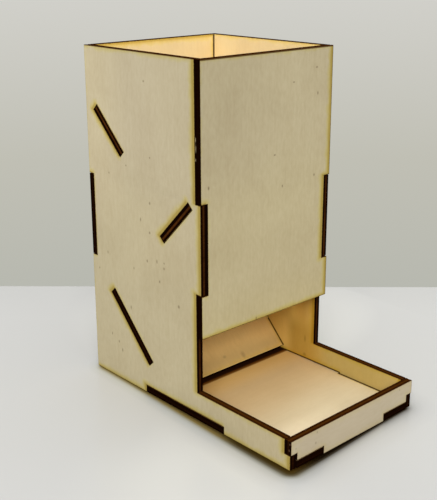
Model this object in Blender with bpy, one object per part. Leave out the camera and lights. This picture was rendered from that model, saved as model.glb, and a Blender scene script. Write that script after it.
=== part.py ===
# Dice tower of laser-cut plywood: nine flat sheets, glued at finger joints.
# X runs across, -Y is the tray side, +Z is up; the origin is under the middle of the whole object.
import math

import bpy
from mathutils import Vector

# Driving dimensions, in metres: a 3 x 3 x 6 inch tower with a 2 inch tray, from 1/8 inch sheet
ply = 0.003175
joint_gap = 0.0003
tower_width = 0.0762
tower_depth = 0.0762
tower_height = 0.1524
tray_reach = 0.0508
tray_wall_height = 0.0127
exit_height = 0.0381
finger_recess = 0.0004

# Where each finger starts and ends, as shares of the length that its joint runs along
corner_finger_shares = (0.375, 0.625)
floor_tab_shares = (0.3, 0.7)
wall_foot_shares = (0.25, 0.75)
tray_step_share = 0.5

# The two short baffles: margins run along the slope from the tab to each end of the sheet
baffle_slope = math.radians(45)
baffle_tab_length = 0.0254
baffle_wall_margin = 0.0032
baffle_free_margin = 0.0114
upper_baffle_share = 0.767
middle_baffle_share = 0.556

# The lower ramp: its foot stands on the floor, behind the front panel
ramp_slope = math.radians(46)
ramp_foot_inset = 0.0200
ramp_tab_margin = 0.0150

# Planes that the sheets share
half_width = tower_width / 2
side_inner = half_width - ply
between_sides = side_inner - joint_gap
y_back = (tower_depth + tray_reach) / 2
y_front = y_back - tower_depth
y_tray = -y_back
back_seat = y_back - ply - joint_gap
front_seat = y_front + ply + joint_gap
tray_seat = y_tray + ply + joint_gap
floor_seat = ply + joint_gap
finger_low = tower_height * corner_finger_shares[0]
finger_high = tower_height * corner_finger_shares[1]
overall_length = tower_depth + tray_reach
tab_front = y_tray + overall_length * floor_tab_shares[0]
tab_back = y_tray + overall_length * floor_tab_shares[1]
foot_left = -half_width + tower_width * wall_foot_shares[0]
foot_right = -half_width + tower_width * wall_foot_shares[1]
tray_step = tray_wall_height * tray_step_share

# Rotations that stand a sheet up: drawn in its own X and Y, its thickness along its own Z
FACING_SIDE = (math.pi / 2, 0, math.pi / 2)
FACING_FRONT = (math.pi / 2, 0, 0)
LYING_FLAT = (0, 0, 0)


def clear_scene():
    for old in list(bpy.data.objects):
        bpy.data.objects.remove(old, do_unlink=True)


def wood(name, colour, roughness):
    material = bpy.data.materials.new(name)
    material.use_nodes = True
    shader = material.node_tree.nodes["Principled BSDF"]
    shader.inputs["Base Color"].default_value = (*colour, 1)
    shader.inputs["Roughness"].default_value = roughness
    shader.inputs["Metallic"].default_value = 0
    return material


def add_loop(curve, points):
    """One closed straight-sided loop; a loop inside another cuts a hole."""
    spline = curve.splines.new("POLY")
    spline.points.add(len(points) - 1)
    for point, (across, along) in zip(spline.points, points):
        point.co = (across, along, 0, 1)
    spline.use_cyclic_u = True


def sheet(name, loops, location, rotation, material):
    """A flat piece of plywood: a filled outline, one sheet thick, about its own middle plane."""
    curve = bpy.data.curves.new(name, "CURVE")
    curve.dimensions = "2D"
    curve.fill_mode = "BOTH"
    curve.extrude = ply / 2
    for points in loops:
        add_loop(curve, points)
    curve.materials.append(material)
    piece = bpy.data.objects.new(name, curve)
    piece.location = location
    piece.rotation_euler = rotation
    tower.objects.link(piece)
    return piece


def mirrored(right_edge):
    """A closed outline from its right-hand edge, listed from the bottom up."""
    left_edge = [(-across, along) for across, along in reversed(right_edge)]
    return right_edge + left_edge


class Baffle:
    """Where a sloped sheet lies: its tab's centre, its slope and its reach to either end."""

    def __init__(self, centre, slope, rises_to, tab, reach_down, reach_up):
        self.centre = Vector(centre)
        self.slope = slope
        self.rises_to = rises_to
        self.tab = tab
        self.reach_down = reach_down
        self.reach_up = reach_up

    def slot(self):
        """The slot that the tab fills, in the side panels' y and z."""
        along = Vector((self.rises_to * math.cos(self.slope), math.sin(self.slope)))
        square = Vector((-along.y, along.x))
        half_length = along * (self.tab / 2 + joint_gap)
        half_thickness = square * (ply / 2 + joint_gap)
        corners = (
            self.centre - half_length - half_thickness,
            self.centre + half_length - half_thickness,
            self.centre + half_length + half_thickness,
            self.centre - half_length + half_thickness,
        )
        return [tuple(corner) for corner in corners]

    def outline(self):
        return mirrored([
            (between_sides, -self.reach_down),
            (between_sides, -self.tab / 2),
            (half_width, -self.tab / 2),
            (half_width, self.tab / 2),
            (between_sides, self.tab / 2),
            (between_sides, self.reach_up),
        ])

    def rotation(self):
        turn = 0 if self.rises_to > 0 else math.pi
        return (self.slope, 0, turn)

    def location(self):
        return (0, self.centre.x, self.centre.y)


def short_baffle(height_share, rises_to):
    """A baffle whose upper end meets the back panel, or the front panel when it rises to the front."""
    wall_reach = baffle_tab_length / 2 + baffle_wall_margin
    free_reach = baffle_tab_length / 2 + baffle_free_margin
    seat = back_seat if rises_to > 0 else front_seat
    setback = math.sin(baffle_slope) * ply / 2 + math.cos(baffle_slope) * wall_reach
    centre = (seat - rises_to * setback, tower_height * height_share)
    return Baffle(centre, baffle_slope, rises_to, baffle_tab_length, free_reach, wall_reach)


def ramp():
    """The long baffle, from the floor behind the exit up to the back panel."""
    lean = math.sin(ramp_slope) * ply / 2
    foot_y = y_front + ply + ramp_foot_inset + lean
    foot_z = floor_seat + math.cos(ramp_slope) * ply / 2
    half_run = (back_seat - lean - foot_y) / 2
    reach = half_run / math.cos(ramp_slope)
    centre = (foot_y + half_run, foot_z + half_run * math.tan(ramp_slope))
    return Baffle(centre, ramp_slope, 1, 2 * (reach - ramp_tab_margin), reach, reach)


def side_outline():
    return [
        (y_tray + finger_recess, 0),
        (tab_front - joint_gap, 0),
        (tab_front - joint_gap, floor_seat),
        (tab_back + joint_gap, floor_seat),
        (tab_back + joint_gap, 0),
        (y_back, 0),
        (y_back, finger_low - joint_gap),
        (back_seat, finger_low - joint_gap),
        (back_seat, finger_high + joint_gap),
        (y_back, finger_high + joint_gap),
        (y_back, tower_height),
        (front_seat, tower_height),
        (front_seat, finger_high),
        (y_front + finger_recess, finger_high),
        (y_front + finger_recess, finger_low),
        (front_seat, finger_low),
        (front_seat, tray_wall_height),
        (tray_seat, tray_wall_height),
        (tray_seat, tray_step),
        (y_tray + finger_recess, tray_step),
    ]


def front_outline():
    return mirrored([
        (half_width, exit_height),
        (half_width, finger_low - joint_gap),
        (between_sides, finger_low - joint_gap),
        (between_sides, finger_high + joint_gap),
        (half_width, finger_high + joint_gap),
        (half_width, tower_height),
    ])


def back_outline():
    return mirrored([
        (foot_right, 0),
        (foot_right, floor_seat),
        (between_sides, floor_seat),
        (between_sides, finger_low),
        (half_width, finger_low),
        (half_width, finger_high),
        (between_sides, finger_high),
        (between_sides, tower_height),
    ])


def tray_wall_outline():
    return mirrored([
        (foot_right, 0),
        (foot_right, floor_seat),
        (between_sides, floor_seat),
        (between_sides, tray_step + joint_gap),
        (half_width, tray_step + joint_gap),
        (half_width, tray_wall_height),
    ])


def floor_outline():
    notch_edge = foot_right + joint_gap
    return mirrored([
        (notch_edge, tray_seat),
        (notch_edge, y_tray),
        (between_sides, y_tray),
        (between_sides, tab_front),
        (half_width, tab_front),
        (half_width, tab_back),
        (between_sides, tab_back),
        (between_sides, y_back),
        (notch_edge, y_back),
        (notch_edge, back_seat),
    ])


clear_scene()
tower = bpy.data.collections.new("dice_tower")
bpy.context.scene.collection.children.link(tower)

upper = short_baffle(upper_baffle_share, 1)
middle = short_baffle(middle_baffle_share, -1)
lower = ramp()
side_loops = [side_outline(), upper.slot(), middle.slot(), lower.slot()]
side_centre = half_width - ply / 2

sheet("left_side_panel", side_loops, (-side_centre, 0, 0), FACING_SIDE,
      wood("side_plywood", (0.66, 0.55, 0.38), 0.62))
sheet("right_side_panel", side_loops, (side_centre, 0, 0), FACING_SIDE,
      wood("far_side_plywood", (0.64, 0.52, 0.35), 0.62))
sheet("back_panel", [back_outline()], (0, y_back - ply / 2, 0), FACING_FRONT,
      wood("back_plywood", (0.67, 0.54, 0.36), 0.62))
sheet("front_panel", [front_outline()], (0, y_front + ply / 2, 0), FACING_FRONT,
      wood("front_plywood", (0.62, 0.53, 0.38), 0.60))
sheet("tray_front_wall", [tray_wall_outline()], (0, y_tray + ply / 2, 0), FACING_FRONT,
      wood("tray_wall_plywood", (0.60, 0.49, 0.33), 0.62))
sheet("floor_panel", [floor_outline()], (0, 0, ply / 2), LYING_FLAT,
      wood("floor_plywood", (0.72, 0.56, 0.37), 0.58))
sheet("upper_baffle", [upper.outline()], upper.location(), upper.rotation(),
      wood("upper_baffle_plywood", (0.64, 0.48, 0.29), 0.64))
sheet("middle_baffle", [middle.outline()], middle.location(), middle.rotation(),
      wood("middle_baffle_plywood", (0.62, 0.46, 0.28), 0.64))
sheet("lower_ramp", [lower.outline()], lower.location(), lower.rotation(),
      wood("ramp_plywood", (0.58, 0.41, 0.22), 0.60))
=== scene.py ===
import math

import bpy
from mathutils import Euler, Matrix, Vector


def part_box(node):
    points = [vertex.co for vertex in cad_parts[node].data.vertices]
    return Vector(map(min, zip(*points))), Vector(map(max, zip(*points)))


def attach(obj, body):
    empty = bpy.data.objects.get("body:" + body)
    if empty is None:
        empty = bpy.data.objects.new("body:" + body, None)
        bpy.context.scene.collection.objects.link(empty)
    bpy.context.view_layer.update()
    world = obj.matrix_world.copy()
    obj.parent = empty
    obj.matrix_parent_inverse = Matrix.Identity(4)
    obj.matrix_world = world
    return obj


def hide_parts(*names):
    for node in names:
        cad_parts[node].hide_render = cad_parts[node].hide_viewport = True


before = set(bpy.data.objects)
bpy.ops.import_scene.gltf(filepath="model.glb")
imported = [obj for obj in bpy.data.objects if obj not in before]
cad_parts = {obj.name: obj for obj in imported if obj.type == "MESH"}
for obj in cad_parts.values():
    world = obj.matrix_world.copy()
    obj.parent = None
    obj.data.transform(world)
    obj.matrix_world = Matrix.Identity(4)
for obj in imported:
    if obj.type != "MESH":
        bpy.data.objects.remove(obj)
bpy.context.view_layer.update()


# The photograph's viewpoint: a little above the rim, off the corner between the left side and the front.
# The place, angles and lens come from fitting a camera to the tower's corners.
CAMERA_PLACE = (-0.26447, -0.27124, 0.19337)
CAMERA_YAW = math.radians(42.411)
CAMERA_PITCH = math.radians(17.135)
CAMERA_ROLL = math.radians(-0.177)
CAMERA_LENS_MM = 65.50
SENSOR_MM = 36
CAMERA_SHIFT = (-0.0022, -0.0489)
CAMERA_NEAR = 0.01

camera_data = bpy.data.cameras.new("photo_camera")
camera_data.sensor_width = SENSOR_MM
camera_data.lens = CAMERA_LENS_MM
camera_data.shift_x, camera_data.shift_y = CAMERA_SHIFT
camera_data.clip_start = CAMERA_NEAR
camera = bpy.data.objects.new("photo_camera", camera_data)
heading = Euler((math.pi / 2 - CAMERA_PITCH, 0, -CAMERA_YAW)).to_matrix()
camera.matrix_world = (heading @ Matrix.Rotation(CAMERA_ROLL, 3, "Z")).to_4x4()
camera.location = CAMERA_PLACE
bpy.context.scene.collection.objects.link(camera)
bpy.context.scene.camera = camera
bpy.context.scene.view_settings.view_transform = "Standard"


# The table: a white laminate top with a soft sheen, its far edge just behind the tower. The real tower is a
# little warped and its near corner stands clear of the table; it is modelled true, so the table dips there.
# Painted contact shadow darkens it along the foot; painted light pales it to the right and in two spots.
TABLE_SIZE = 3.0
TABLE_THICKNESS = 0.018
TABLE_EDGE_ROUND = 0.002
TABLE_ROUGHNESS = 0.24
TABLE_SPECULAR = 0.45
EDGE_BEYOND_CAMERA = 0.5068
TABLE_YAW = math.radians(43.3)
STANDING_GAP = 0.0003
FOOTPRINT = (0.0381, 0.0635)
LIFTED_CORNER = (-FOOTPRINT[0], -FOOTPRINT[1])
CORNER_LIFT = 0.0025
LIFT_REACH = (0.078, 0.130)
TABLE_CUTS = 60
DIP_CUTS = 9
DIP_MARGIN = 1.4
TABLE_WHITE = "#CACAC4"

# Each painted shadow lists its colours by how far they lie outside the foot, in millimetres
SHADOW_INSIDE = 4
SHADOW_OUTSIDE = 14
SHADOW_CLEARS = (0.4, 1.0)
FRONT_PAINTED_SHADOW = [
    (-4, "#2E1F0A"), (-1.2, "#20150A"), (0.0, "#433B2C"), (0.9, "#8E8C84"), (2, "#ABAAA3"), (3, "#B9B9B2"),
    (5, "#C2C2BC"), (8, "#C7C7C1"), (14, TABLE_WHITE),
]
SIDE_PAINTED_SHADOW = [
    (-4, "#867038"), (0, "#8C7A45"), (0.9, "#A19B7E"), (1.8, "#B8B7A9"), (3.2, "#C3C4BC"), (7, TABLE_WHITE),
    (14, TABLE_WHITE),
]
CORNER_PAINTED_SHADOW = [
    (-4, "#6E5114"), (-2.5, "#6A5220"), (-1.1, "#5A4B27"), (0.2, "#736A52"), (1.5, "#A8A798"),
    (2.9, "#C2C2BA"), (7, TABLE_WHITE), (14, TABLE_WHITE),
]
SIDE_ENDS = (-0.040, -0.018)
CORNER_ENDS = (-0.034, -0.018)

# The spots of painted light: place, where each one starts and stops to fade, and its share
TABLE_LIT = "#DEDED5"
LIT_RIGHT = (-0.02, 0.06)
LIT_RIGHT_SHARE = 0.2
LIT_SPOTS = [((-0.067, -0.048, 0), 0.012, 0.060, 0.62), ((0.0585, 0.073, 0), 0.050, 0.095, 1.0)]

# Settings that many shader nodes share; a colour mix has its colours at 6 and 7 and its result at 2.
# FAR_OFF lies beyond the end of any box, whether in metres or in millimetres.
EASED = {"interpolation_type": "SMOOTHSTEP"}
BLEND = {"data_type": "RGBA"}
FAR_OFF = 400


def linear(code):
    """An sRGB hex colour as Blender's linear RGBA."""
    channels = [int(code[i:i + 2], 16) / 255 for i in (1, 3, 5)]
    curve = [c / 12.92 if c <= 0.04045 else ((c + 0.055) / 1.055) ** 2.4 for c in channels]
    return (*curve, 1)


def add(tree, kind, settings, inputs):
    """One shader node with its settings; an input is a value, or a socket to link."""
    node = tree.nodes.new(kind)
    for name, value in settings.items():
        setattr(node, name, value)
    for key, value in inputs.items():
        if isinstance(value, bpy.types.NodeSocket):
            tree.links.new(value, node.inputs[key])
        else:
            node.inputs[key].default_value = value
    return node


def off_box(tree, point, x, y, half_x, half_y, slope):
    """How far a point lies outside a flat box that is turned by slope degrees, in the point's own units."""
    from_box = add(tree, "ShaderNodeVectorMath", {"operation": "SUBTRACT"}, {
        0: point, 1: (x, y, 0)}).outputs[0]
    if slope:
        from_box = add(tree, "ShaderNodeVectorRotate", {"rotation_type": "Z_AXIS"}, {
            "Vector": from_box, "Angle": -math.radians(slope)}).outputs[0]
    off_axes = add(tree, "ShaderNodeVectorMath", {"operation": "ABSOLUTE"}, {0: from_box}).outputs[0]
    beyond = add(tree, "ShaderNodeVectorMath", {"operation": "SUBTRACT"}, {
        0: off_axes, 1: (half_x, half_y, FAR_OFF)}).outputs[0]
    outside = add(tree, "ShaderNodeVectorMath", {"operation": "MAXIMUM"}, {
        0: beyond, 1: (0, 0, 0)}).outputs[0]
    return add(tree, "ShaderNodeVectorMath", {"operation": "LENGTH"}, {0: outside}).outputs["Value"]


bpy.ops.object.select_all(action="DESELECT")
bpy.ops.mesh.primitive_cube_add(size=1, location=(0, 0, 0))
table = bpy.context.object
table.name = "table_top"
table.scale = (TABLE_SIZE, TABLE_SIZE, TABLE_THICKNESS)
bpy.ops.object.transform_apply(location=False, rotation=False, scale=True)
bpy.ops.object.mode_set(mode="EDIT")
bpy.ops.mesh.select_all(action="SELECT")
bpy.ops.mesh.bevel(offset=TABLE_EDGE_ROUND, segments=4, affect="EDGES")
bpy.ops.object.mode_set(mode="OBJECT")
forward = Vector((math.sin(CAMERA_YAW), math.cos(CAMERA_YAW), 0))
edge_point = Vector(CAMERA_PLACE) + forward * EDGE_BEYOND_CAMERA
square_to_edge = Vector((math.sin(TABLE_YAW), math.cos(TABLE_YAW), 0))
table.rotation_euler = (0, 0, -TABLE_YAW)
table.location = edge_point - square_to_edge * (TABLE_SIZE / 2)
table.location.z = -TABLE_THICKNESS / 2 - STANDING_GAP
bpy.ops.object.transform_apply(location=True, rotation=True, scale=True)
for cuts, reach in ((TABLE_CUTS, TABLE_SIZE * 2), (DIP_CUTS, LIFT_REACH[1] * DIP_MARGIN)):
    bpy.ops.object.mode_set(mode="EDIT")
    bpy.ops.mesh.select_mode(type="FACE")
    bpy.ops.mesh.select_all(action="DESELECT")
    bpy.ops.object.mode_set(mode="OBJECT")
    for face in table.data.polygons:
        face.select = face.normal.z > 0.999 and math.dist(face.center.xy, LIFTED_CORNER) < reach
    bpy.ops.object.mode_set(mode="EDIT")
    bpy.ops.mesh.subdivide(number_cuts=cuts)
    bpy.ops.object.mode_set(mode="OBJECT")
for vertex in table.data.vertices:
    steps = [abs(vertex.co[i] - LIFTED_CORNER[i]) / LIFT_REACH[i] for i in (0, 1)]
    fade_x, fade_y = [0.5 + 0.5 * math.cos(math.pi * min(1, step)) for step in steps]
    if vertex.co.z > -TABLE_EDGE_ROUND / 2:
        vertex.co.z -= CORNER_LIFT * fade_x * fade_y
bpy.ops.object.shade_smooth_by_angle(angle=math.radians(30))

table_paint = bpy.data.materials.new("satin_white_laminate")
table_paint.use_nodes = True
paint = table_paint.node_tree
table_shader = paint.nodes["Principled BSDF"]
on_table = add(paint, "ShaderNodeTexCoord", {}, {}).outputs["Object"]
table_axes = add(paint, "ShaderNodeSeparateXYZ", {}, {0: on_table})
# Painted contact shadow round the foot: one dark ramp by distance each for the front, the side and the
# corner
off_foot = off_box(paint, on_table, 0, 0, *[half - SHADOW_INSIDE / 1000 for half in FOOTPRINT], 0)
shadow_share = add(paint, "ShaderNodeMath", {"operation": "DIVIDE"}, {
    0: off_foot, 1: (SHADOW_INSIDE + SHADOW_OUTSIDE) / 1000}).outputs[0]
painted_shadows = []
for shades in (FRONT_PAINTED_SHADOW, SIDE_PAINTED_SHADOW, CORNER_PAINTED_SHADOW):
    shadow_ramp = add(paint, "ShaderNodeValToRGB", {}, {"Fac": shadow_share})
    for _ in shades[2:]:
        shadow_ramp.color_ramp.elements.new(0.5)
    for stop, (off, code) in zip(shadow_ramp.color_ramp.elements, shades):
        stop.position = (off + SHADOW_INSIDE) / (SHADOW_INSIDE + SHADOW_OUTSIDE)
        stop.color = linear(code)
    painted_shadows.append(shadow_ramp.outputs["Color"])
on_side, near_corner = [add(paint, "ShaderNodeMapRange", EASED, {
    "Value": table_axes.outputs[axis], "From Min": ends[0], "From Max": ends[1],
    "To Min": 1.0, "To Max": 0.0}).outputs[0] for axis, ends in (("X", SIDE_ENDS), ("Y", CORNER_ENDS))]
side_shadow = add(paint, "ShaderNodeMix", BLEND, {
    "Factor": near_corner, 6: painted_shadows[1], 7: painted_shadows[2]}).outputs[2]
shadowed = add(paint, "ShaderNodeMix", BLEND, {"Factor": on_side, 6: painted_shadows[0], 7: side_shadow}).outputs[2]
# Painted light: the table is paler to the right of the tower and in two spots, though not near the foot
lit_most = add(paint, "ShaderNodeMapRange", EASED, {
    "Value": table_axes.outputs["X"], "From Min": LIT_RIGHT[0], "From Max": LIT_RIGHT[1],
    "To Max": LIT_RIGHT_SHARE}).outputs[0]
for place, fade_from, fade_to, most in LIT_SPOTS:
    off_spot = add(paint, "ShaderNodeVectorMath", {"operation": "DISTANCE"}, {
        0: on_table, 1: place}).outputs["Value"]
    lit_here = add(paint, "ShaderNodeMapRange", EASED, {
        "Value": off_spot, "From Min": fade_from, "From Max": fade_to,
        "To Min": most, "To Max": 0.0}).outputs[0]
    lit_most = add(paint, "ShaderNodeMath", {"operation": "MAXIMUM"}, {0: lit_most, 1: lit_here}).outputs[0]
clear_share = add(paint, "ShaderNodeMapRange", {}, {
    "Value": shadow_share, "From Min": SHADOW_CLEARS[0], "From Max": SHADOW_CLEARS[1]}).outputs[0]
lit_share = add(paint, "ShaderNodeMath", {"operation": "MULTIPLY"}, {
    0: lit_most, 1: clear_share}).outputs[0]
table_tone = add(paint, "ShaderNodeMix", BLEND, {
    "Factor": lit_share, 6: shadowed, 7: linear(TABLE_LIT)}).outputs[2]
paint.links.new(table_tone, table_shader.inputs["Base Color"])
table_shader.inputs["Roughness"].default_value = TABLE_ROUGHNESS
table_shader.inputs["Specular IOR Level"].default_value = TABLE_SPECULAR
table.data.materials.append(table_paint)


# A pale room: even light from all round, and a broad soft ceiling lamp on the camera's side of the tower.
# The wall is the room's own tone as the camera sees it, palest at the top and greyer down at the table.
WALL_LOW = "#B7B8AF"
WALL_MIDDLE = "#C0BFB4"
WALL_HIGH = "#D1D0CA"
WALL_SLOPES = (-0.36, -0.05)
WALL_MIDDLE_SHARE = 0.45
ROOM_LIGHT = "#F8F8FF"
WALL_STRENGTH = 0.50
CEILING_STRENGTH = 0.98
LAMP_POWER = 232
LAMP_SIZE = 3.2
LAMP_PLACE = (-3.16, -3.16, 3.44)

world = bpy.data.worlds.new("pale_room")
bpy.context.scene.world = world
world.use_nodes = True
sky = world.node_tree
sky.nodes.clear()
direction = add(sky, "ShaderNodeTexCoord", {}, {}).outputs["Generated"]
slope = add(sky, "ShaderNodeSeparateXYZ", {}, {"Vector": direction}).outputs["Z"]
wall_share = add(sky, "ShaderNodeMapRange", {}, {
    "Value": slope, "From Min": WALL_SLOPES[0], "From Max": WALL_SLOPES[1]}).outputs["Result"]
wall_ramp = add(sky, "ShaderNodeValToRGB", {}, {"Fac": wall_share})
stops = wall_ramp.color_ramp.elements
stops[0].color = linear(WALL_LOW)
stops[1].color = linear(WALL_HIGH)
stops.new(WALL_MIDDLE_SHARE).color = linear(WALL_MIDDLE)
wall_seen = add(sky, "ShaderNodeBackground", {}, {"Color": wall_ramp.outputs["Color"], "Strength": 1.0})
overhead = add(sky, "ShaderNodeMapRange", EASED, {
    "Value": slope, "To Min": WALL_STRENGTH, "To Max": CEILING_STRENGTH}).outputs["Result"]
room = add(sky, "ShaderNodeBackground", {}, {"Color": linear(ROOM_LIGHT), "Strength": overhead})
rays = add(sky, "ShaderNodeLightPath", {}, {})
straight = add(sky, "ShaderNodeMath", {"operation": "MAXIMUM"}, {
    0: rays.outputs["Is Camera Ray"], 1: rays.outputs["Is Transmission Ray"]}).outputs[0]
mirrored = add(sky, "ShaderNodeMath", {"operation": "MAXIMUM"}, {
    0: straight, 1: rays.outputs["Is Glossy Ray"]}).outputs[0]
seen = add(sky, "ShaderNodeMixShader", {}, {
    "Fac": mirrored, 1: room.outputs["Background"], 2: wall_seen.outputs["Background"]})
add(sky, "ShaderNodeOutputWorld", {}, {"Surface": seen.outputs["Shader"]})

lamp_data = bpy.data.lights.new("ceiling_lamp", "AREA")
lamp_data.energy = LAMP_POWER
lamp_data.size = LAMP_SIZE
lamp = bpy.data.objects.new("ceiling_lamp", lamp_data)
lamp.location = LAMP_PLACE
lamp.rotation_euler = (-Vector(LAMP_PLACE)).to_track_quat("-Z", "Y").to_euler()
bpy.context.scene.collection.objects.link(lamp)


# Side panels: two L-shaped sheets of three-ply birch, each cut by laser in one piece from rim to tray.
# The beam leaves black edges with a burnt-back core ply, and a yellow smoke stain beside every cut.
# The slots hold the tabs of the sloped sheets, and fingers at the edges lock into the other panels.
PLY_MM = 3.175
GAP_MM = 0.3
SEAT_MM = PLY_MM + GAP_MM
HEIGHT_MM = 152.4
HALF_LENGTH_MM = 63.5
TOWER_FRONT_MM = -12.7
TRAY_HEIGHT_MM = 12.7
TRAY_STEP_MM = TRAY_HEIGHT_MM / 2
FINGER_LOW_MM = 57.15
FINGER_HIGH_MM = 95.25
FINGER_RECESS_MM = 0.4
FLOOR_TAB_MM = 25.4
BAFFLE_TAB_MM = 12.7
BAFFLE_SLOPE = 45
RAMP_TAB_MM = 19.02
RAMP_SLOPE = 46
SLOT_HALF_MM = PLY_MM / 2 + GAP_MM
CORE_PLY_SHARE = 0.34
GLUE_LINE_MM = PLY_MM * CORE_PLY_SHARE / 2
ARRIS = 0.00009
CORE_BURN_BACK = 0.00007
MERGE_GAP = 0.00001
FLAT_ANGLE = math.radians(1)
SHARP_ANGLE = math.radians(30)
SMOOTH_ANGLE = math.radians(15)

FACING_SIDE = (math.pi / 2, 0, math.pi / 2)

BIRCH_OUTSIDE = "#BEB290"
# The outer face's tones: paler high up, in painted light, and other tones towards the back, front and tray
BIRCH_LIT_UPPER = "#C5B99A"
BIRCH_BACK = "#CCBF9C"
BIRCH_NEAR = "#C0B494"
BIRCH_TRAY = "#BBAE8B"
# The inner veneer is paler and warmer than the outer one, partly in painted light from the shaft
BIRCH_INSIDE = "#F8E1AA"
# Painted shade and light inside: darker down the shaft and in the tray, amber in the exit, darker at its
# foot
SHAFT_PAINTED_SHADE = "#D7B877"
TRAY_SIDE_INSIDE = "#C0A762"
TRAY_SIDE_END = "#CAB16D"
EXIT_AMBER = "#F2BB54"
EXIT_LOW = "#C09944"
EXIT_SHADE = "#FFDC78"
EXIT_BEHIND = "#E6C068"
FIBRE_BUMP = 0.00005
FIBRE_BUMP_SHARE = 0.3
BIRCH_ROUGHNESS = (0.52, 0.66)
BIRCH_SPECULAR = 0.06

# The veneer's patterns, each with where it starts, where it is full, its share and its colour.
# A sheet's own grain scales the streaks and the fibres.
TINT = {"data_type": "RGBA", "blend_type": "MULTIPLY"}
VENEER_SHIFT = (31.7, 17.3, 9.1)
VENEER_PATTERNS = [
    ("bands", 0.42, 0.75, 0.05, "#C4A878"), ("cloud", 0.40, 0.72, 0.22, "#D8CFC4"),
    ("streaks", 0.45, 0.75, 0.08, "#BFA27A"), ("fibres", 0.35, 0.70, 0.14, "#C4B194"),
]
GRAIN_PATTERNS = ("streaks", "fibres")
FLECK_BROWN = "#7C6C50"
FLECK_FADE = (0.2, 1.0)
JOINT_SOOT = "#432603"
JOINT_SMEAR_MM = 0.4
JOINT_SHARE = 0.9
TOAST_BROWN = "#432404"
TOAST_FROM_MM = 0.02
UPWIND_MM = 1.0
UPWIND_SHARE = 0.45
SMOKE_REACH_MM = (1.7, 3.2)
HEAT_STAIN = [
    (0.0, "#E2D58C"), (0.125, "#F2EAAF"), (0.29, "#FBF5C8"), (0.46, "#FEFCDA"), (0.71, "#FFFFF1"),
    (1.0, "#FFFFFF"),
]

# Charred edge: dark and pale ends of each tone as the beam left it, then in a painted highlight facing up
SOOT_TONES = (("#060200", "#180702"), ("#1F0D02", "#3F1E05"))
CORE_TONES = (("#2A1004", "#6A3E18"), ("#311704", "#55300A"))
LIT_FACING_UP = (0.6, 0.9)
# Low down near the table the core ply is darker: where that fades out, in metres, and how much bare core
# stays
DARKER_CORE_LOW = (0.006, 0.009)
DARKER_CORE_LOW_SHARE = 0.3
CORE_FADE = (0.6, 1.15)
LEAST_BARE = 0.6
EDGE_SHIFT = (13.7, 29.3, 5.1)
CHIP_FADE = (0.9, 2.0)
CHIP_SHARE = 0.6
KERF_BUMP = 0.0001
KERF_BUMP_SHARE = 0.5
CHAR_ROUGHNESS = 0.9
CHAR_SPECULAR = 0.0

# In mm, cuts are (from and to across, from and to along), and slots, flecks and joints start with their
# middle, across and along, and their half sizes; a slope follows where they are turned.
SIDE_OUTLINE = (FINGER_RECESS_MM - HALF_LENGTH_MM, HALF_LENGTH_MM, 0, HEIGHT_MM)
SIDE_CUTS = [
    (-FAR_OFF, TOWER_FRONT_MM + SEAT_MM, TRAY_HEIGHT_MM, FINGER_LOW_MM),
    (-FAR_OFF, TOWER_FRONT_MM + FINGER_RECESS_MM, FINGER_LOW_MM, FINGER_HIGH_MM),
    (-FAR_OFF, TOWER_FRONT_MM + SEAT_MM, FINGER_HIGH_MM, FAR_OFF),
    (HALF_LENGTH_MM - SEAT_MM, FAR_OFF, FINGER_LOW_MM - GAP_MM, FINGER_HIGH_MM + GAP_MM),
    (-FLOOR_TAB_MM - GAP_MM, FLOOR_TAB_MM + GAP_MM, -FAR_OFF, SEAT_MM),
    (-FAR_OFF, SEAT_MM - HALF_LENGTH_MM, TRAY_STEP_MM, FAR_OFF),
]
SIDE_SLOTS = [
    (47.66, 116.89, BAFFLE_TAB_MM + GAP_MM, SLOT_HALF_MM, BAFFLE_SLOPE),
    (3.14, 84.73, BAFFLE_TAB_MM + GAP_MM, SLOT_HALF_MM, -BAFFLE_SLOPE),
    (35.25, 29.05, RAMP_TAB_MM + GAP_MM, SLOT_HALF_MM, RAMP_SLOPE),
]


def laser_cut_copy(node, place, turn):
    """A copy of a sheet with worn arrises, and a core ply that the beam has burnt back a little."""
    piece = bpy.data.objects.new(node + "_sheet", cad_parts[node].data.copy())
    bpy.context.scene.collection.objects.link(piece)
    piece.data.materials.clear()
    bpy.ops.object.select_all(action="DESELECT")
    piece.select_set(True)
    bpy.context.view_layer.objects.active = piece
    square = Euler(turn).to_matrix() @ Vector((0, 0, 1))
    core = GLUE_LINE_MM / 1000
    bpy.ops.object.mode_set(mode="EDIT")
    bpy.ops.mesh.select_all(action="SELECT")
    bpy.ops.mesh.remove_doubles(threshold=MERGE_GAP)
    bpy.ops.mesh.dissolve_limited(angle_limit=FLAT_ANGLE)
    bpy.ops.mesh.select_all(action="DESELECT")
    bpy.ops.mesh.edges_select_sharp(sharpness=SHARP_ANGLE)
    bpy.ops.mesh.bevel(offset=ARRIS, segments=2, affect="EDGES")
    for side in (-core, core):
        bpy.ops.mesh.select_all(action="SELECT")
        bpy.ops.mesh.bisect(plane_co=Vector(place) + square * side, plane_no=square)
    bpy.ops.mesh.select_all(action="DESELECT")
    bpy.ops.mesh.select_mode(type="FACE")
    bpy.ops.object.mode_set(mode="OBJECT")
    for face in piece.data.polygons:
        off_middle = abs((face.center - Vector(place)).dot(square))
        face.select = off_middle < core and abs(face.normal.dot(square)) < 0.1
    bpy.ops.object.mode_set(mode="EDIT")
    bpy.ops.mesh.extrude_region_shrink_fatten(
        TRANSFORM_OT_shrink_fatten={"value": -CORE_BURN_BACK, "use_even_offset": True})
    bpy.ops.mesh.select_mode(type="VERT")
    bpy.ops.object.mode_set(mode="OBJECT")
    bpy.ops.object.shade_smooth_by_angle(angle=SMOOTH_ANGLE)
    for face in piece.data.polygons:
        off_middle = abs((face.center - Vector(place)).dot(square))
        veneer_face = off_middle > 2 * core and abs(face.normal.dot(square)) > 0.5
        face.material_index = 0 if veneer_face else 1
    return piece


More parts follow.
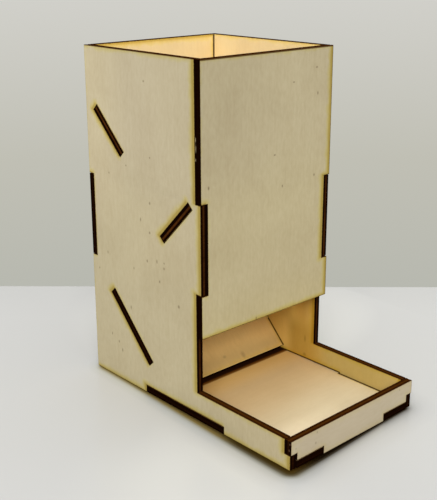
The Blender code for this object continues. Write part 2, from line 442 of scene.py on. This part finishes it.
def sheet_material(name, place, turn):
    """A new material, with each point's place in the world and on its sheet (mm, z through the plies)."""
    material = bpy.data.materials.new(name)
    material.use_nodes = True
    world_place = add(material.node_tree, "ShaderNodeTexCoord", {}, {}).outputs["Object"]
    on_sheet = add(material.node_tree, "ShaderNodeMapping", {"vector_type": "TEXTURE"}, {
        "Vector": world_place, "Location": place, "Rotation": turn,
        "Scale": (0.001, 0.001, 0.001)}).outputs[0]
    return material, world_place, on_sheet


def clear_of_cuts(tree, on_sheet, outline, cuts, slots, paired):
    """How far each point of a sheet lies from its nearest cut, in millimetres in the sheet's own plane."""
    axes = add(tree, "ShaderNodeSeparateXYZ", {}, {0: on_sheet})
    across = axes.outputs["X"]
    if paired:
        across = add(tree, "ShaderNodeMath", {"operation": "ABSOLUTE"}, {0: across}).outputs[0]
    flat = add(tree, "ShaderNodeCombineXYZ", {}, {"X": across, "Y": axes.outputs["Y"]}).outputs[0]
    middle = ((outline[0] + outline[1]) / 2, (outline[2] + outline[3]) / 2, 0)
    half = ((outline[1] - outline[0]) / 2, (outline[3] - outline[2]) / 2, 0)
    from_middle = add(tree, "ShaderNodeVectorMath", {"operation": "SUBTRACT"}, {
        0: flat, 1: middle}).outputs[0]
    off_axes = add(tree, "ShaderNodeVectorMath", {"operation": "ABSOLUTE"}, {0: from_middle}).outputs[0]
    margins = add(tree, "ShaderNodeVectorMath", {"operation": "SUBTRACT"}, {
        0: half, 1: off_axes}).outputs[0]
    margin_axes = add(tree, "ShaderNodeSeparateXYZ", {}, {0: margins})
    nearest = add(tree, "ShaderNodeMath", {"operation": "MINIMUM"}, {
        0: margin_axes.outputs["X"], 1: margin_axes.outputs["Y"]}).outputs[0]
    boxes = [((c[0] + c[1]) / 2, (c[2] + c[3]) / 2, (c[1] - c[0]) / 2, (c[3] - c[2]) / 2, 0) for c in cuts]
    for box in boxes + list(slots):
        gap = off_box(tree, flat, *box)
        nearest = add(tree, "ShaderNodeMath", {"operation": "MINIMUM"}, {0: nearest, 1: gap}).outputs[0]
    return nearest


def birch_ply(name, place, turn, outline, cuts, slots, above, below, seed,
              halo=1.0, drift=(0, 0), grain_up=True, paired=False, tones=(), flecks=(), fleck_side=1,
              fleck_depth=0.6, grain=(1.0, 1.0), scorch=(0.22, 0.6), joints=()):
    """Raw three-ply birch, laser cut: pale, satin and straight-grained, toasted beside each cut.

    Distances are in millimetres in the sheet's own plane: outline is its box, cuts are boxes cut away,
    slots are turned boxes, above and below are the veneers' colours, paired mirrors left and right, and
    drift is how far the laser's air jet blew the smoke of each cut across the sheet.
    tones lists (side, from and to across, from and to along, colour): each one takes over a veneer
    gradually. flecks lists (across, along, half width, half length) for the marks that the photograph
    shows on the fleck_side veneer, and joints lists turned boxes there, where another sheet's charred
    edge has blackened the line between them. grain is how strongly the fibres show, above and below,
    halo how strong the smoke stain is, and scorch how narrow and wide the charred line at a cut is.
    """
    material, _, on_sheet = sheet_material(name, place, turn)
    tree = material.node_tree
    shader = tree.nodes["Principled BSDF"]
    axes = add(tree, "ShaderNodeSeparateXYZ", {}, {0: on_sheet})
    nearest = clear_of_cuts(tree, on_sheet, outline, cuts, slots, paired)
    blown = add(tree, "ShaderNodeVectorMath", {"operation": "SUBTRACT"}, {
        0: on_sheet, 1: (*drift, 0)}).outputs[0]
    smoke_near = clear_of_cuts(tree, blown, outline, cuts, slots, paired)

    # Bands 4 mm wide, streaks of 0.7 mm (real vessels are 0.1 mm), short fibres of 1.3 mm (real ones are
    # finer), clouds of 26 mm, and for the burnt line patches of 5 mm and a ragged edge of 0.6 mm
    own_place = add(tree, "ShaderNodeVectorMath", {"operation": "ADD"}, {
        0: on_sheet, 1: [seed * step for step in VENEER_SHIFT]}).outputs[0]
    with_grain, with_fibres = [add(tree, "ShaderNodeVectorMath", {"operation": "MULTIPLY"}, {
        0: own_place, 1: (1.0, squeeze, 1.0) if grain_up else (squeeze, 1.0, 1.0)}).outputs[0]
        for squeeze in (0.06, 0.4)]
    noise = {}
    for pattern, point, size, detail, rough, distortion in (
            ("cloud", own_place, 26, 2.0, 0.5, 0.0), ("bands", with_grain, 4.0, 3.0, 0.55, 0.3),
            ("streaks", with_grain, 0.7, 2.0, 0.6, 0.0), ("fibres", with_fibres, 1.3, 2.0, 0.6, 0.0),
            ("patches", own_place, 5.0, 3.0, 0.6, 0.0), ("ragged", own_place, 0.6, 2.0, 0.6, 0.0)):
        noise[pattern] = add(tree, "ShaderNodeTexNoise", {}, {
            "Vector": point, "Scale": 1 / size, "Detail": detail, "Roughness": rough,
            "Distortion": distortion}).outputs["Fac"]

    upper_side = add(tree, "ShaderNodeMath", {"operation": "GREATER_THAN"}, {
        0: axes.outputs["Z"], 1: 0.0}).outputs[0]
    lower_side = add(tree, "ShaderNodeMath", {"operation": "SUBTRACT"}, {0: 1.0, 1: upper_side}).outputs[0]
    veneer = add(tree, "ShaderNodeMix", BLEND, {
        "Factor": upper_side, 6: linear(below), 7: linear(above)}).outputs[2]
    for side, across_range, along_range, colour in tones:
        share = upper_side if side > 0 else lower_side
        for axis, limits in (("X", across_range), ("Y", along_range)):
            if limits:
                eased = add(tree, "ShaderNodeMapRange", EASED, {
                    "Value": axes.outputs[axis], "From Min": limits[0], "From Max": limits[1]}).outputs[0]
                share = add(tree, "ShaderNodeMath", {"operation": "MULTIPLY"}, {
                    0: share, 1: eased}).outputs[0]
        veneer = add(tree, "ShaderNodeMix", BLEND, {
            "Factor": share, 6: veneer, 7: linear(colour)}).outputs[2]
    grain_here = add(tree, "ShaderNodeMapRange", {}, {
        "Value": upper_side, "To Min": grain[1], "To Max": grain[0]}).outputs[0]
    for pattern, starts, full, most, colour in VENEER_PATTERNS:
        if pattern in GRAIN_PATTERNS:
            most = add(tree, "ShaderNodeMath", {"operation": "MULTIPLY"}, {
                0: grain_here, 1: most}).outputs[0]
        share = add(tree, "ShaderNodeMapRange", {}, {
            "Value": noise[pattern], "From Min": starts, "From Max": full, "To Max": most}).outputs[0]
        veneer = add(tree, "ShaderNodeMix", TINT, {
            "Factor": share, 6: veneer, 7: linear(colour)}).outputs[2]

    marked_side = upper_side if fleck_side > 0 else lower_side
    if flecks:
        off_flecks = 2.0
        for x, y, half_x, half_y in flecks:
            from_fleck = add(tree, "ShaderNodeVectorMath", {"operation": "SUBTRACT"}, {
                0: on_sheet, 1: (x, y, 0)}).outputs[0]
            rounded = add(tree, "ShaderNodeVectorMath", {"operation": "MULTIPLY"}, {
                0: from_fleck, 1: (1 / half_x, 1 / half_y, 0)}).outputs[0]
            off_fleck = add(tree, "ShaderNodeVectorMath", {"operation": "LENGTH"}, {
                0: rounded}).outputs["Value"]
            off_flecks = add(tree, "ShaderNodeMath", {"operation": "MINIMUM"}, {
                0: off_flecks, 1: off_fleck}).outputs[0]
        fleck_share = add(tree, "ShaderNodeMapRange", EASED, {
            "Value": off_flecks, "From Min": FLECK_FADE[0], "From Max": FLECK_FADE[1],
            "To Min": fleck_depth, "To Max": 0.0}).outputs[0]
        fleck_here = add(tree, "ShaderNodeMath", {"operation": "MULTIPLY"}, {
            0: fleck_share, 1: marked_side}).outputs[0]
        veneer = add(tree, "ShaderNodeMix", TINT, {
            "Factor": fleck_here, 6: veneer, 7: linear(FLECK_BROWN)}).outputs[2]
    for joint in joints:
        joint_share = add(tree, "ShaderNodeMapRange", EASED, {
            "Value": off_box(tree, on_sheet, *joint), "From Min": 0.0, "From Max": JOINT_SMEAR_MM,
            "To Min": JOINT_SHARE, "To Max": 0.0}).outputs[0]
        joint_here = add(tree, "ShaderNodeMath", {"operation": "MULTIPLY"}, {
            0: joint_share, 1: marked_side}).outputs[0]
        veneer = add(tree, "ShaderNodeMix", BLEND, {
            "Factor": joint_here, 6: veneer, 7: linear(JOINT_SOOT)}).outputs[2]

    # Heat from the cut: an ochre stain 1 to 4 mm wide, patchy and blown to one side, then char at the arris
    reach = add(tree, "ShaderNodeMapRange", {}, {
        "Value": noise["patches"], "From Min": 0.35, "From Max": 0.65,
        "To Min": SMOKE_REACH_MM[0], "To Max": SMOKE_REACH_MM[1]}).outputs[0]
    stain_depth = add(tree, "ShaderNodeMath", {"operation": "DIVIDE"}, {0: smoke_near, 1: reach}).outputs[0]
    stain = add(tree, "ShaderNodeValToRGB", {}, {"Fac": stain_depth})
    for position, colour in HEAT_STAIN[1:-1]:
        stain.color_ramp.elements.new(position)
    for stop, (position, colour) in zip(stain.color_ramp.elements, HEAT_STAIN):
        stop.color = linear(colour)
    stained = add(tree, "ShaderNodeMix", TINT, {
        "Factor": halo, 6: veneer, 7: stain.outputs["Color"]}).outputs[2]
    upwind = add(tree, "ShaderNodeMath", {"operation": "SUBTRACT"}, {0: smoke_near, 1: nearest}).outputs[0]
    blown_share = add(tree, "ShaderNodeMapRange", {}, {
        "Value": upwind, "From Min": -UPWIND_MM, "From Max": UPWIND_MM,
        "To Min": 1.0, "To Max": UPWIND_SHARE}).outputs[0]
    toast_width = add(tree, "ShaderNodeMapRange", {}, {
        "Value": noise["ragged"], "From Min": 0.3, "From Max": 0.7,
        "To Min": scorch[0], "To Max": scorch[1]}).outputs[0]
    toast_edge = add(tree, "ShaderNodeMath", {"operation": "MULTIPLY"}, {
        0: toast_width, 1: blown_share}).outputs[0]
    toast = add(tree, "ShaderNodeMapRange", EASED, {
        "Value": nearest, "From Min": TOAST_FROM_MM, "From Max": toast_edge,
        "To Min": 1.0, "To Max": 0.0}).outputs[0]
    toasted = add(tree, "ShaderNodeMix", BLEND, {
        "Factor": toast, 6: stained, 7: linear(TOAST_BROWN)}).outputs[2]

    tree.links.new(toasted, shader.inputs["Base Color"])
    sheen = add(tree, "ShaderNodeMapRange", {}, {
        "Value": noise["bands"], "To Min": BIRCH_ROUGHNESS[0], "To Max": BIRCH_ROUGHNESS[1]}).outputs[0]
    tree.links.new(sheen, shader.inputs["Roughness"])
    shader.inputs["Specular IOR Level"].default_value = BIRCH_SPECULAR
    bump = add(tree, "ShaderNodeBump", {}, {
        "Height": noise["streaks"], "Strength": FIBRE_BUMP_SHARE * max(grain),
        "Distance": FIBRE_BUMP}).outputs[0]
    tree.links.new(bump, shader.inputs["Normal"])
    return material


def charred_edge(name, place, turn, seed, bare=0.5, chips=(), chip_colour="#C6B289"):
    """The sheet's cut edge: matt soot over the outer plies, and a redder, less burnt core ply.

    The edges that face up, the rims, are a warmer brown in a painted highlight, and down at the table the
    core ply is darker. bare is how much of the core ply the beam has left brown, and chips lists
    boxes in the sheet's millimetres where pale wood shows.
    Kerf lines of 0.5 mm (the real ones are finer) run across the thickness and catch a little light.
    """
    material, world_place, on_sheet = sheet_material(name, place, turn)
    tree = material.node_tree
    shader = tree.nodes["Principled BSDF"]
    axes = add(tree, "ShaderNodeSeparateXYZ", {}, {0: on_sheet})
    depth = add(tree, "ShaderNodeMath", {"operation": "ABSOLUTE"}, {0: axes.outputs["Z"]}).outputs[0]
    own_place = add(tree, "ShaderNodeVectorMath", {"operation": "ADD"}, {
        0: on_sheet, 1: [seed * step for step in EDGE_SHIFT]}).outputs[0]
    kerf_place = add(tree, "ShaderNodeVectorMath", {"operation": "MULTIPLY"}, {
        0: own_place, 1: (1.0, 1.0, 0.12)}).outputs[0]
    kerf, scorch = [add(tree, "ShaderNodeTexNoise", {}, {
        "Vector": point, "Scale": 1 / size, "Detail": 2.0, "Roughness": 0.6}).outputs["Fac"]
        for point, size in ((kerf_place, 0.5), (own_place, 7.0))]
    # Painted highlight: edges that face up take the paler, warmer tones and show more of the core ply
    facing = add(tree, "ShaderNodeNewGeometry", {}, {}).outputs["Normal"]
    upward = add(tree, "ShaderNodeSeparateXYZ", {}, {0: facing}).outputs["Z"]
    facing_up_lit = add(tree, "ShaderNodeMapRange", {}, {
        "Value": upward, "From Min": LIT_FACING_UP[0], "From Max": LIT_FACING_UP[1]}).outputs[0]
    burnt = []
    for tones in (SOOT_TONES, CORE_TONES):
        as_cut, lit_up = [add(tree, "ShaderNodeMix", BLEND, {
            "Factor": kerf, 6: linear(dark), 7: linear(pale)}).outputs[2] for dark, pale in tones]
        burnt.append(add(tree, "ShaderNodeMix", BLEND, {"Factor": facing_up_lit, 6: as_cut, 7: lit_up}).outputs[2])
    soot, core = burnt
    core_band = add(tree, "ShaderNodeMapRange", EASED, {
        "Value": depth, "From Min": GLUE_LINE_MM * CORE_FADE[0], "From Max": GLUE_LINE_MM * CORE_FADE[1],
        "To Min": 1.0, "To Max": 0.0}).outputs[0]
    unburnt = add(tree, "ShaderNodeMapRange", {}, {
        "Value": scorch, "From Min": 0.35, "From Max": 0.65,
        "To Min": bare * LEAST_BARE, "To Max": bare}).outputs[0]
    # Darker core ply low down, near the table
    height = add(tree, "ShaderNodeSeparateXYZ", {}, {0: world_place}).outputs["Z"]
    off_table = add(tree, "ShaderNodeMapRange", {}, {
        "Value": height, "From Min": DARKER_CORE_LOW[0], "From Max": DARKER_CORE_LOW[1],
        "To Min": DARKER_CORE_LOW_SHARE, "To Max": 1.0}).outputs[0]
    bare_by_height = add(tree, "ShaderNodeMath", {"operation": "MULTIPLY"}, {0: unburnt, 1: off_table}).outputs[0]
    core_bare = add(tree, "ShaderNodeMath", {"operation": "MAXIMUM"}, {0: bare_by_height, 1: facing_up_lit}).outputs[0]
    core_share = add(tree, "ShaderNodeMath", {"operation": "MULTIPLY"}, {
        0: core_band, 1: core_bare}).outputs[0]
    charred = add(tree, "ShaderNodeMix", BLEND, {"Factor": core_share, 6: soot, 7: core}).outputs[2]
    for x, y, z, half_x, half_y, half_z in chips:
        from_chip = add(tree, "ShaderNodeVectorMath", {"operation": "SUBTRACT"}, {
            0: on_sheet, 1: (x, y, z)}).outputs[0]
        rounded = add(tree, "ShaderNodeVectorMath", {"operation": "DIVIDE"}, {
            0: from_chip, 1: (half_x, half_y, half_z)}).outputs[0]
        off_chip = add(tree, "ShaderNodeVectorMath", {"operation": "LENGTH"}, {0: rounded}).outputs["Value"]
        ragged_chip = add(tree, "ShaderNodeMath", {"operation": "ADD"}, {0: off_chip, 1: kerf}).outputs[0]
        chipped = add(tree, "ShaderNodeMapRange", EASED, {
            "Value": ragged_chip, "From Min": CHIP_FADE[0], "From Max": CHIP_FADE[1],
            "To Min": CHIP_SHARE, "To Max": 0.0}).outputs[0]
        charred = add(tree, "ShaderNodeMix", BLEND, {
            "Factor": chipped, 6: charred, 7: linear(chip_colour)}).outputs[2]
    tree.links.new(charred, shader.inputs["Base Color"])
    shader.inputs["Roughness"].default_value = CHAR_ROUGHNESS
    shader.inputs["Specular IOR Level"].default_value = CHAR_SPECULAR
    bump = add(tree, "ShaderNodeBump", {}, {
        "Height": kerf, "Strength": KERF_BUMP_SHARE, "Distance": KERF_BUMP}).outputs[0]
    tree.links.new(bump, shader.inputs["Normal"])
    return material


LEFT_FLECKS = [
    (20.1, 89.8, 0.8, 1.0), (26.7, 81.3, 0.6, 1.3), (20.6, 76.7, 0.8, 0.9), (22.8, 63.5, 0.8, 1.0),
    (16.1, 64.9, 0.6, 1.3), (11.3, 65.3, 0.6, 0.7), (11.4, 62.9, 0.7, 0.9), (14.6, 56.2, 0.7, 0.9),
    (2.1, 48.4, 0.9, 1.1), (35.5, 38.2, 0.6, 1.4), (50.8, 20.7, 0.5, 1.1), (45.6, 18.3, 0.7, 1.0),
    (43.2, 14.7, 0.7, 1.4), (19.3, 109.5, 0.6, 0.6), (35.9, 103.4, 0.6, 0.6), (48.5, 98.0, 0.6, 0.7),
    (22.2, 140.8, 0.7, 0.7), (58.8, 51.1, 0.6, 0.7), (32.5, 57.7, 0.5, 0.9), (51.7, 60.4, 0.5, 1.1),
]
RIGHT_FLECKS = [(-3.7, 13.6, 0.9, 2.6), (-3.7, 5.4, 1.4, 1.3)]
RIM_BURN = [(27.0, HEIGHT_MM, 36.5, 0.08, 0)]
INNER_JOINTS = [
    (0, 3.5, 25.7, 0.35, 0), (-42.7, 3.1, 17.0, 0.15, 0), (42.7, 3.1, 17.0, 0.15, 0),
    (34.04, 30.22, 34.0, 0.3, RAMP_SLOPE), (60.2, 76, 0.3, 76, 0), (-9.4, 95, 0.3, 57, 0),
]

for node, side, seed, flecks in (
        ("left_side_panel", -1, 1, LEFT_FLECKS), ("right_side_panel", 1, 2, RIGHT_FLECKS)):
    low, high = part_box(node)
    place = ((low[0] + high[0]) / 2, 0, 0)
    panel = laser_cut_copy(node, place, FACING_SIDE)
    veneers = (BIRCH_OUTSIDE, BIRCH_INSIDE) if side > 0 else (BIRCH_INSIDE, BIRCH_OUTSIDE)
    # Outer face: painted light makes it paler high up
    outer_tones = [
        (side, None, (75, 120), BIRCH_LIT_UPPER), (side, (30, 60), (60, 110), BIRCH_BACK),
        (side, (30, -5), (60, 100), BIRCH_NEAR), (side, (-5, -40), None, BIRCH_TRAY)]
    # Inner face: painted shade down the shaft and in the tray, painted light in the exit, darker low in it
    inner_tones = [
        (-side, None, (115, 55), SHAFT_PAINTED_SHADE), (-side, None, (60, 40), TRAY_SIDE_INSIDE),
        (-side, (-20, 12), (75, 45), EXIT_AMBER), (-side, (-3, 6), (75, 45), EXIT_SHADE),
        (-side, (-20, -4), (28, 16), EXIT_LOW), (-side, (3, 10), (60, 30), EXIT_BEHIND),
        (-side, (-36, -60), None, TRAY_SIDE_END)]
    panel.data.materials.append(birch_ply(
        "laser_cut_birch_" + node, place, FACING_SIDE, SIDE_OUTLINE, SIDE_CUTS, SIDE_SLOTS, *veneers, seed,
        drift=(1.3, 0.3), tones=outer_tones + inner_tones, flecks=flecks, fleck_side=-1,
        fleck_depth=0.55 if side < 0 else 0.35, grain=(0.85, 0.45) if side > 0 else (0.45, 0.85),
        joints=INNER_JOINTS if side > 0 else RIM_BURN))
    panel.data.materials.append(charred_edge("charred_edge_" + node, place, FACING_SIDE, seed, bare=0.55))
    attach(panel, "root")
    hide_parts(node)


# Front panel: a plain birch sheet that ends above the exit, its side edges recessed for the side fingers.
# Its outer face is the cooler side of the sheet, with a few grey-brown flecks.
FACING_FRONT = (math.pi / 2, 0, 0)
HALF_WIDTH_MM = 38.1
BETWEEN_SIDES_MM = HALF_WIDTH_MM - SEAT_MM
EXIT_HEIGHT_MM = 38.1
FRONT_OUTLINE = (-HALF_WIDTH_MM, HALF_WIDTH_MM, EXIT_HEIGHT_MM, HEIGHT_MM)
FRONT_CUTS = [(BETWEEN_SIDES_MM, FAR_OFF, FINGER_LOW_MM - GAP_MM, FINGER_HIGH_MM + GAP_MM)]
FRONT_FACE = "#C1B58C"
# Painted shade: the outer face is darker higher up, most of all high at its left end
FRONT_MIDDLE = "#BCB08B"
FRONT_UPPER = "#BAAE8C"
FRONT_CORNER = "#B3A786"
FRONT_FLECKS = [
    (27.9, 143.9, 1.0, 0.5), (28.9, 132.8, 0.6, 1.1), (3.0, 109.6, 0.9, 0.6), (27.9, 97.0, 0.7, 0.9),
    (7.9, 95.4, 0.6, 0.9), (-34.1, 101.9, 0.7, 1.1), (13.8, 138.9, 0.9, 0.5), (-7.0, 38.9, 0.7, 1.2),
]
FRONT_RIM_BURN = [(0, 152.3, HALF_WIDTH_MM, 0.27, 0)]
FRONT_CHIPS = [
    (-38.1, 121.4, -1.35, 1.0, 1.0, 0.16), (-38.1, 118.0, -1.25, 1.0, 1.5, 0.16),
    (-38.1, 113.4, -1.4, 1.0, 0.6, 0.16),
]

low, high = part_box("front_panel")
front_place = (0, (low[1] + high[1]) / 2, 0)
front = laser_cut_copy("front_panel", front_place, FACING_FRONT)
# Tones of painted shade: darker from the middle up, and high at the left end
front.data.materials.append(birch_ply(
    "laser_cut_birch_front", front_place, FACING_FRONT, FRONT_OUTLINE, FRONT_CUTS, [],
    FRONT_FACE, BIRCH_INSIDE, 3, drift=(-1.3, 0.4), paired=True, flecks=FRONT_FLECKS, scorch=(0.35, 0.8),
    joints=FRONT_RIM_BURN, tones=[
        (1, None, (38, 60), FRONT_MIDDLE), (1, None, (85, 125), FRONT_UPPER),
        (1, (15, -25), (85, 130), FRONT_CORNER)]))
front.data.materials.append(charred_edge(
    "charred_edge_front", front_place, FACING_FRONT, 3, bare=0.03, chips=FRONT_CHIPS))
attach(front, "root")
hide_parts("front_panel")


# Back panel: a birch sheet whose long fingers show at the side panels' back edges, and whose foot stands
# in the floor's back notch. Its inner face, warm in the light of the shaft, shows above the front rim.
FOOT_MM = 19.05
BACK_OUTLINE = (-HALF_WIDTH_MM, HALF_WIDTH_MM, 0, HEIGHT_MM)
BACK_CUTS = [
    (BETWEEN_SIDES_MM, FAR_OFF, -FAR_OFF, FINGER_LOW_MM),
    (BETWEEN_SIDES_MM, FAR_OFF, FINGER_HIGH_MM, FAR_OFF),
    (FOOT_MM, FAR_OFF, -FAR_OFF, SEAT_MM),
]
BACK_FLECKS = [
    (-21.0, 131.5, 0.7, 1.1), (12.4, 118.2, 0.6, 0.9), (25.8, 84.3, 0.7, 1.3), (-8.6, 72.9, 0.6, 0.8),
    (-27.3, 49.7, 0.6, 1.2), (5.2, 33.1, 0.8, 1.0), (18.9, 21.6, 0.5, 1.1),
]

low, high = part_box("back_panel")
back_place = (0, (low[1] + high[1]) / 2, 0)
back = laser_cut_copy("back_panel", back_place, FACING_FRONT)
# Its inner face darkens down the shaft in painted shade
back.data.materials.append(birch_ply(
    "laser_cut_birch_back", back_place, FACING_FRONT, BACK_OUTLINE, BACK_CUTS, [],
    BIRCH_INSIDE, BIRCH_OUTSIDE, 4, drift=(0, -0.8), paired=True, tones=[(1, None, (115, 55), SHAFT_PAINTED_SHADE)],
    flecks=BACK_FLECKS, fleck_side=-1, grain=(0.45, 1.0)))
back.data.materials.append(charred_edge("charred_edge_back", back_place, FACING_FRONT, 4, bare=0.1))
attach(back, "root")
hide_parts("back_panel")


# Floor: one birch sheet under the tower and the tray, tabbed into the side panels and notched for the feet
# of the front wall and the back panel. Dice have worn its grain smooth, and it runs across the tray.
LYING_FLAT = (0, 0, 0)
FLOOR_OUTLINE = (-HALF_WIDTH_MM, HALF_WIDTH_MM, -HALF_LENGTH_MM, HALF_LENGTH_MM)
FLOOR_CUTS = [
    (BETWEEN_SIDES_MM, FAR_OFF, -FAR_OFF, -FLOOR_TAB_MM),
    (BETWEEN_SIDES_MM, FAR_OFF, FLOOR_TAB_MM, FAR_OFF),
    (-FAR_OFF, FOOT_MM + GAP_MM, HALF_LENGTH_MM - SEAT_MM, FAR_OFF),
    (-FAR_OFF, FOOT_MM + GAP_MM, -FAR_OFF, SEAT_MM - HALF_LENGTH_MM),
]
# Painted light and shade on the floor: paler at the near corner, darker towards the tower and the exit
FLOOR_TRAY = "#DCCCA5"
FLOOR_LIT_CORNER = "#F1E0BA"
FLOOR_SHADED_INNER = "#CFB07C"
FLOOR_SHADED_EXIT = "#DCB26A"
# A painted shadow under the ramp's overhanging foot, with a softer edge
FOOT_SHADOW_EDGE = "#7A4A16"
FOOT_PAINTED_SHADOW = "#2A1203"
FLOOR_UNDERSIDE = "#A87B45"

floor_place = (0, 0, PLY_MM / 2000)
floor = laser_cut_copy("floor_panel", floor_place, LYING_FLAT)
# Tones: painted light near the corner, painted shade to the exit, painted shadow under the ramp's foot
floor.data.materials.append(birch_ply(
    "laser_cut_birch_floor", floor_place, LYING_FLAT, FLOOR_OUTLINE, FLOOR_CUTS, [],
    FLOOR_TRAY, FLOOR_UNDERSIDE, 5, halo=0.6, grain_up=False, paired=True, grain=(0.3, 0.3),
    scorch=(0.8, 1.5), tones=[
        (1, (20, -25), (-36, -50), FLOOR_LIT_CORNER), (1, None, (-50, -8), FLOOR_SHADED_INNER),
        (1, None, (-8, 7), FLOOR_SHADED_EXIT), (1, None, (7.6, 8.8), FOOT_SHADOW_EDGE),
        (1, None, (8.8, 10.6), FOOT_PAINTED_SHADOW)]))
floor.data.materials.append(charred_edge("charred_edge_floor", floor_place, LYING_FLAT, 5, bare=0.12))
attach(floor, "root")
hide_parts("floor_panel")


# Tray front wall: a low birch strip that keeps the dice in, lapped over the side panels' lower steps.
# Its foot fills the floor's notch, and its ends show as charred tabs at the corners.
TRAY_WALL_OUTLINE = (-HALF_WIDTH_MM, HALF_WIDTH_MM, 0, TRAY_HEIGHT_MM)
TRAY_WALL_CUTS = [
    (FOOT_MM, FAR_OFF, -FAR_OFF, SEAT_MM),
    (BETWEEN_SIDES_MM, FAR_OFF, -FAR_OFF, TRAY_STEP_MM + GAP_MM),
]
TRAY_WALL_OUTSIDE = "#BCAF94"
TRAY_WALL_FLECKS = [
    (-24.0, 6.8, 0.7, 0.9), (-23.3, 11.3, 0.6, 0.8), (29.5, 11.0, 0.6, 0.5), (-35.4, 8.8, 0.5, 0.6),
]
TRAY_WALL_CHIPS = [(-38.1, 11.3, 0.9, 0.5, 0.4, 0.2), (-38.1, 8.6, 0.5, 0.5, 0.5, 0.2)]
TRAY_CHIP_BROWN = "#8F6A52"

low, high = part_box("tray_front_wall")
tray_wall_place = (0, (low[1] + high[1]) / 2, 0)
tray_wall = laser_cut_copy("tray_front_wall", tray_wall_place, FACING_FRONT)
tray_wall.data.materials.append(birch_ply(
    "laser_cut_birch_tray_wall", tray_wall_place, FACING_FRONT, TRAY_WALL_OUTLINE, TRAY_WALL_CUTS, [],
    TRAY_WALL_OUTSIDE, BIRCH_INSIDE, 6, halo=0.35, grain_up=False, paired=True, grain=(0.5, 0.5),
    flecks=TRAY_WALL_FLECKS, fleck_depth=0.35))
tray_wall.data.materials.append(charred_edge(
    "charred_edge_tray_wall", tray_wall_place, FACING_FRONT, 6, bare=0.2, chips=TRAY_WALL_CHIPS,
    chip_colour=TRAY_CHIP_BROWN))
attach(tray_wall, "root")
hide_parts("tray_front_wall")


# Short baffles: two birch sheets at 45 degrees, each held by a tab in either side panel, that throw the
# dice from the back wall to the front one. They are darker, in the painted shade of the shaft.
BAFFLE_OUTLINE = (-HALF_WIDTH_MM, HALF_WIDTH_MM, -24.1, 15.9)
BAFFLE_CUTS = [
    (BETWEEN_SIDES_MM, FAR_OFF, BAFFLE_TAB_MM, FAR_OFF),
    (BETWEEN_SIDES_MM, FAR_OFF, -FAR_OFF, -BAFFLE_TAB_MM),
]
BAFFLE_FACE = "#D9B882"
UPPER_BAFFLE_PLACE = (0, 0.0476595, 0.1168908)
MIDDLE_BAFFLE_PLACE = (0, 0.0031405, 0.0847344)

for node, place, turned, seed in (
        ("upper_baffle", UPPER_BAFFLE_PLACE, 0, 7), ("middle_baffle", MIDDLE_BAFFLE_PLACE, math.pi, 8)):
    turn = (math.radians(BAFFLE_SLOPE), 0, turned)
    baffle = laser_cut_copy(node, place, turn)
    baffle.data.materials.append(birch_ply(
        "laser_cut_birch_" + node, place, turn, BAFFLE_OUTLINE, BAFFLE_CUTS, [],
        BAFFLE_FACE, BAFFLE_FACE, seed, paired=True))
    baffle.data.materials.append(charred_edge("charred_edge_" + node, place, turn, seed, bare=0.9))
    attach(baffle, "root")
    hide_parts(node)


# Lower ramp: the long sloped sheet that rolls the dice out, from the floor behind the exit up to the back
# panel. The warmest sheet, partly in painted light: a tan birch with two faint knots near its foot.
RAMP_HALF_MM = 34.02
RAMP_OUTLINE = (-HALF_WIDTH_MM, HALF_WIDTH_MM, -RAMP_HALF_MM, RAMP_HALF_MM)
RAMP_CUTS = [
    (BETWEEN_SIDES_MM, FAR_OFF, RAMP_TAB_MM, FAR_OFF),
    (BETWEEN_SIDES_MM, FAR_OFF, -FAR_OFF, -RAMP_TAB_MM),
]
RAMP_FACE = "#FFD88A"
# Painted shade towards the foot, and a painted highlight along the foot's upper arris
RAMP_SHADED_FOOT = "#CFAE6E"
RAMP_ARRIS_HIGHLIGHT = "#E3C994"
TAB_SOOT = "#2A1203"
RAMP_KNOTS = [(9.6, -31.2, 1.7, 2.6), (-1.0, -28.9, 1.4, 1.1)]

ramp_place = (0, 0.03525, 0.0290505)
ramp_turn = (math.radians(RAMP_SLOPE), 0, 0)
ramp = laser_cut_copy("lower_ramp", ramp_place, ramp_turn)
# Painted shade darkens it towards its foot, and a painted highlight runs along the foot's arris
ramp.data.materials.append(birch_ply(
    "laser_cut_birch_ramp", ramp_place, ramp_turn, RAMP_OUTLINE, RAMP_CUTS, [],
    RAMP_FACE, RAMP_FACE, 9, halo=0.7, paired=True, grain=(0.6, 0.6), scorch=(0.03, 0.1),
    flecks=RAMP_KNOTS, fleck_depth=0.3, tones=[
        (1, None, (-23, -32), RAMP_SHADED_FOOT), (1, None, (-33.5, -33.9), RAMP_ARRIS_HIGHLIGHT),
        (1, (-34.6, -36.0), None, TAB_SOOT), (1, (34.6, 36.0), None, TAB_SOOT)]))
ramp.data.materials.append(charred_edge("charred_edge_ramp", ramp_place, ramp_turn, 9, bare=0.15))
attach(ramp, "root")
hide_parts("lower_ramp")
